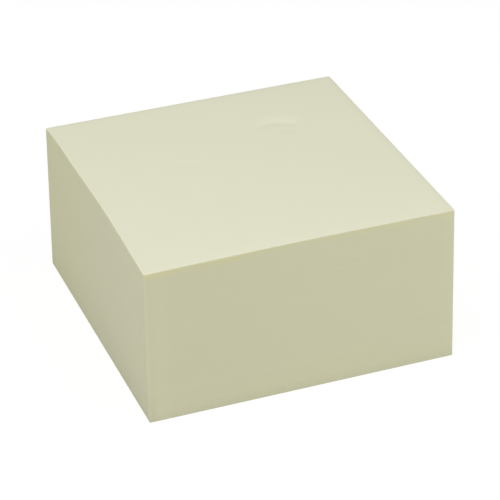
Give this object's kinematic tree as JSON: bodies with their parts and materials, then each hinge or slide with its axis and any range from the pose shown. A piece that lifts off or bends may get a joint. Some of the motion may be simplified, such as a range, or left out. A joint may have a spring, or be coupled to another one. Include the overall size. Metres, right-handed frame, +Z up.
{
  "type": "sticky note pad",
  "caption": "Square block pad of pale yellow self-stick paper notes, all blank, with straight cut sides and a thin backing sheet.",
  "frame": {"origin": "middle of the pad's underside, on the surface that it rests on", "axes": "+Z up through the notes, +X along the glued edge, +Y from the glued edge to the free edge"},
  "size_m": [0.076, 0.076, 0.0396],
  "materials": {
    "note_paper": "uncoated pale yellow paper, matte, cut edges slightly deeper in colour",
    "backing_paper": "pale yellow paper, release-coated on its upper face, plain uncoated face below"
  },
  "bodies": {
    "root": {"note_stack": "note_paper", "backing_sheet": "backing_paper"}
  },
  "joints": []
}
